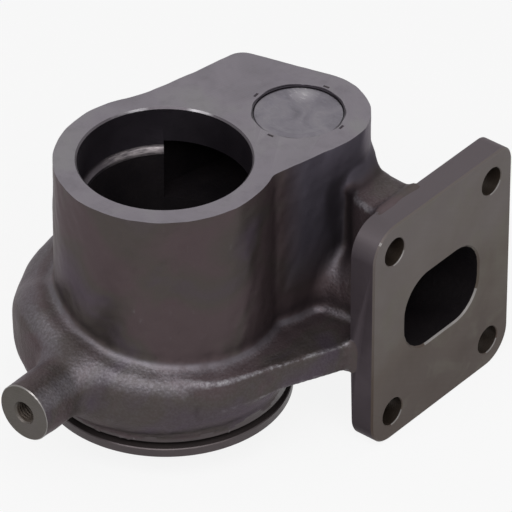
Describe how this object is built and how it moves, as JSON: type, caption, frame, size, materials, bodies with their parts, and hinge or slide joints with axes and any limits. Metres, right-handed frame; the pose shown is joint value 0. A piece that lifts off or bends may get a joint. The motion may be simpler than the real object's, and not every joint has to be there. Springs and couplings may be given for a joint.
{
  "type": "turbocharger turbine housing",
  "caption": "Cast iron turbine housing with a scroll, a flanged rectangular gas inlet, a tall outlet column, a clamp ring below, a threaded side boss and a staked blanking plug.",
  "frame": {"origin": "on the turbine's axis, in the bottom face of the clamp ring for the bearing housing", "axes": "+Z along the turbine's axis towards the gas outlet, +X out of the gas inlet's flange, -Y out of the threaded boss"},
  "size_m": [0.1663, 0.2244, 0.1388],
  "materials": {
    "cast_iron": "as cast, dark brownish grey, with turned and milled faces",
    "plug_steel": "dull, faintly brushed"
  },
  "bodies": {
    "root": {"turbine_housing": "cast_iron", "blanking_plug": "plug_steel"}
  },
  "joints": []
}
